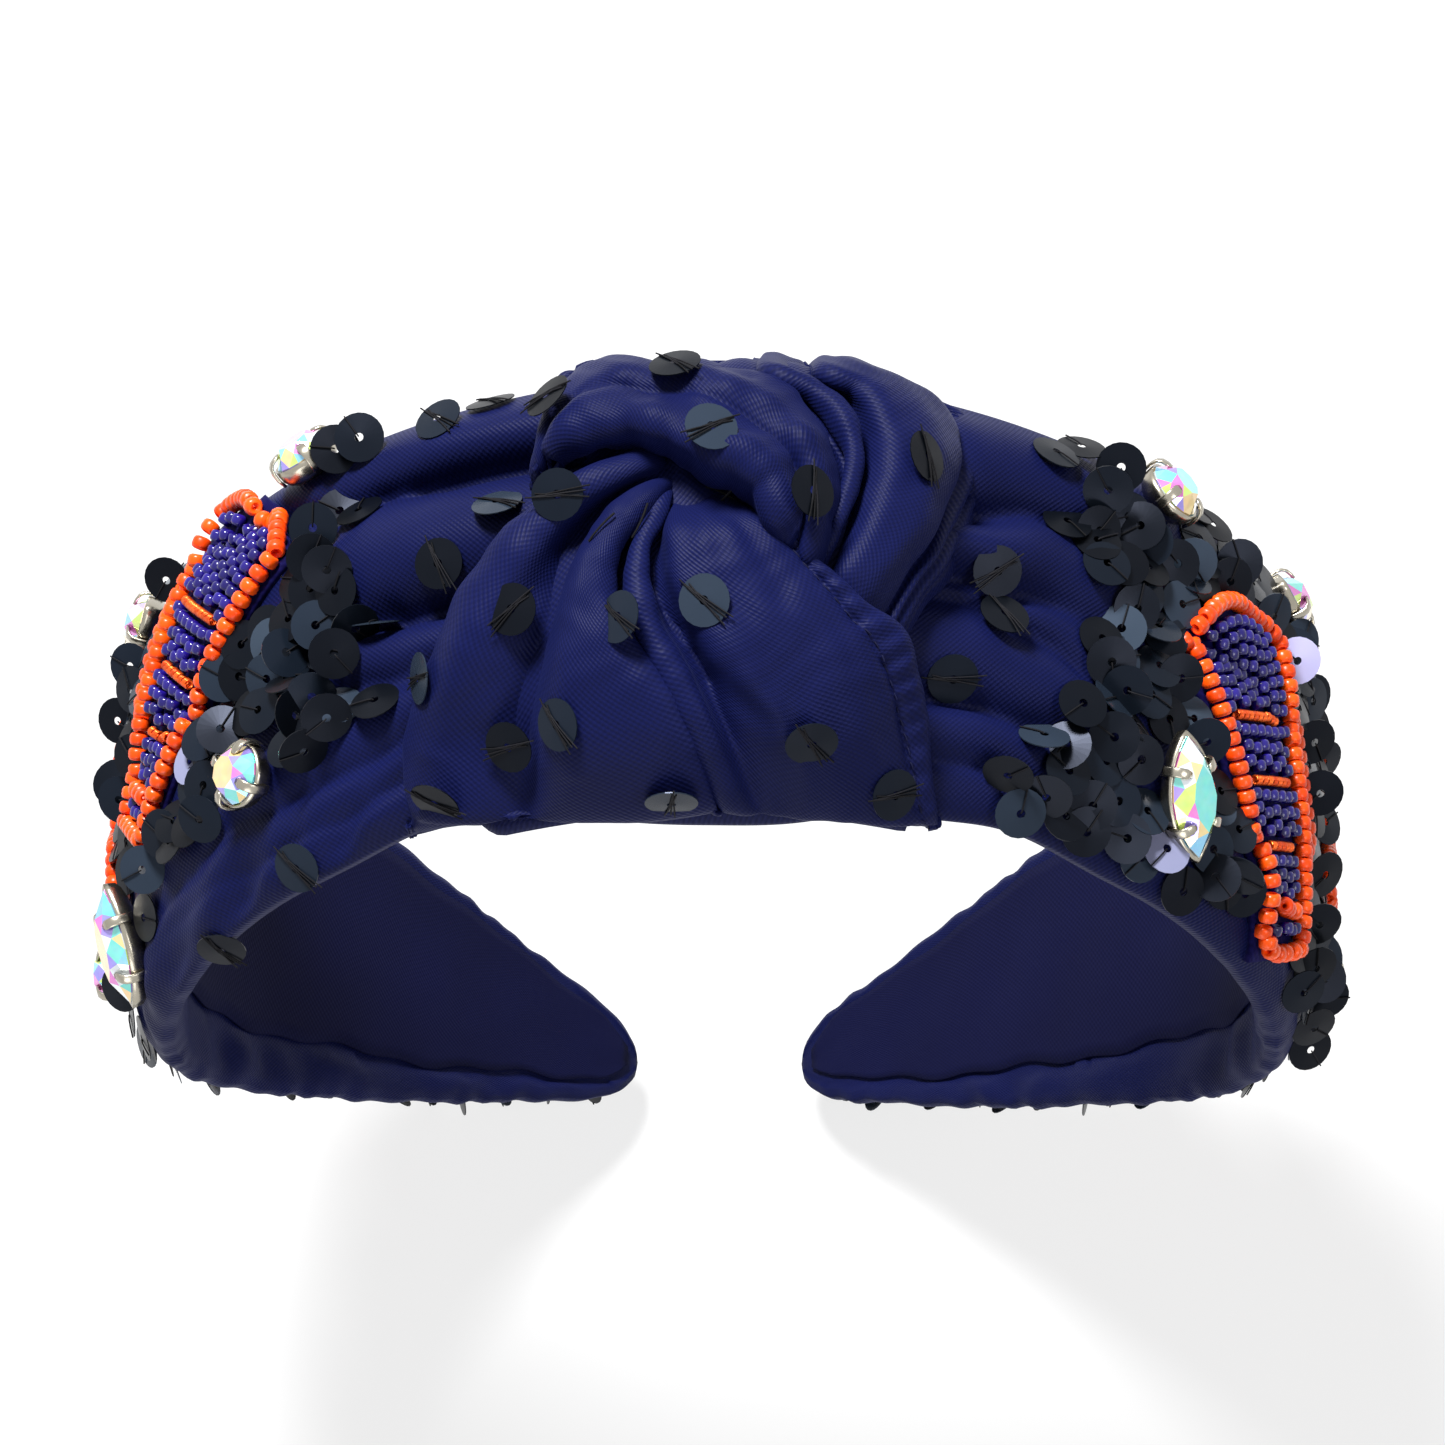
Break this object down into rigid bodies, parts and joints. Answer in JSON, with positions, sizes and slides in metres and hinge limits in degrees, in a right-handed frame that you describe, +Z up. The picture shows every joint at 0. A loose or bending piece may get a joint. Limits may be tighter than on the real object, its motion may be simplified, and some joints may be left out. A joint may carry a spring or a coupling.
{
  "type": "knotted hairband",
  "caption": "Padded satin hairband with a turban knot at the crown, sequined arms, seed-bead patches and crystal stones in pronged settings; grips the head as a spring hoop.",
  "frame": {"origin": "on the axis of the crown arc, midway across the head, where the lining seats on the head", "axes": "+Z up over the crown, -Y towards the face, +X towards the wearer's left as seen from the front"},
  "size_m": [0.1532, 0.063, 0.1688],
  "materials": {
    "hoop_plastic": "flexible moulded strip",
    "foam_padding": "soft foam sheet",
    "satin_cover": "navy satin with a fine twill",
    "lining_cloth": "smooth dark lining",
    "felt_backing": "thin felt",
    "orange_beads": "opaque glossy glass",
    "navy_beads": "opaque glossy glass",
    "copper_wire": "wound metallic purl",
    "silver_wire": "wound metallic purl",
    "sequin_film": "glossy dark film",
    "crystal": "faceted, iridescent coating",
    "setting_metal": "pressed silver-plated sheet"
  },
  "bodies": {
    "root": {"hoop_core": "hoop_plastic", "lining": "lining_cloth", "padding_left": "foam_padding", "padding_right": "foam_padding", "cover_left": "satin_cover", "cover_right": "satin_cover", "knot_fan": "satin_cover", "knot_flap": "satin_cover", "knot_side_rolls": "satin_cover", "knot_top_loop": "satin_cover", "megaphone_felt_left": "felt_backing", "megaphone_felt_right": "felt_backing", "megaphone_outline_left": "orange_beads", "megaphone_outline_right": "orange_beads", "megaphone_field_left": "navy_beads", "megaphone_field_right": "navy_beads", "megaphone_wire_left": "copper_wire", "megaphone_wire_right": "copper_wire", "hand_felt_left": "felt_backing", "hand_felt_right": "felt_backing", "hand_outline_left": "orange_beads", "hand_outline_right": "orange_beads", "hand_field_left": "navy_beads", "hand_field_right": "navy_beads", "hand_wire_left": "silver_wire", "hand_wire_right": "silver_wire", "pompom_orange_left": "orange_beads", "pompom_orange_right": "orange_beads", "pompom_navy_left": "navy_beads", "pompom_navy_right": "navy_beads", "round_stones_left": "crystal", "round_stones_right": "crystal", "round_settings_left": "setting_metal", "round_settings_right": "setting_metal", "navette_stones_left": "crystal", "navette_stones_right": "crystal", "navette_settings_left": "setting_metal", "navette_settings_right": "setting_metal", "sequins_left": "sequin_film", "sequins_right": "sequin_film", "sequins_knot": "sequin_film"}
  },
  "joints": []
}
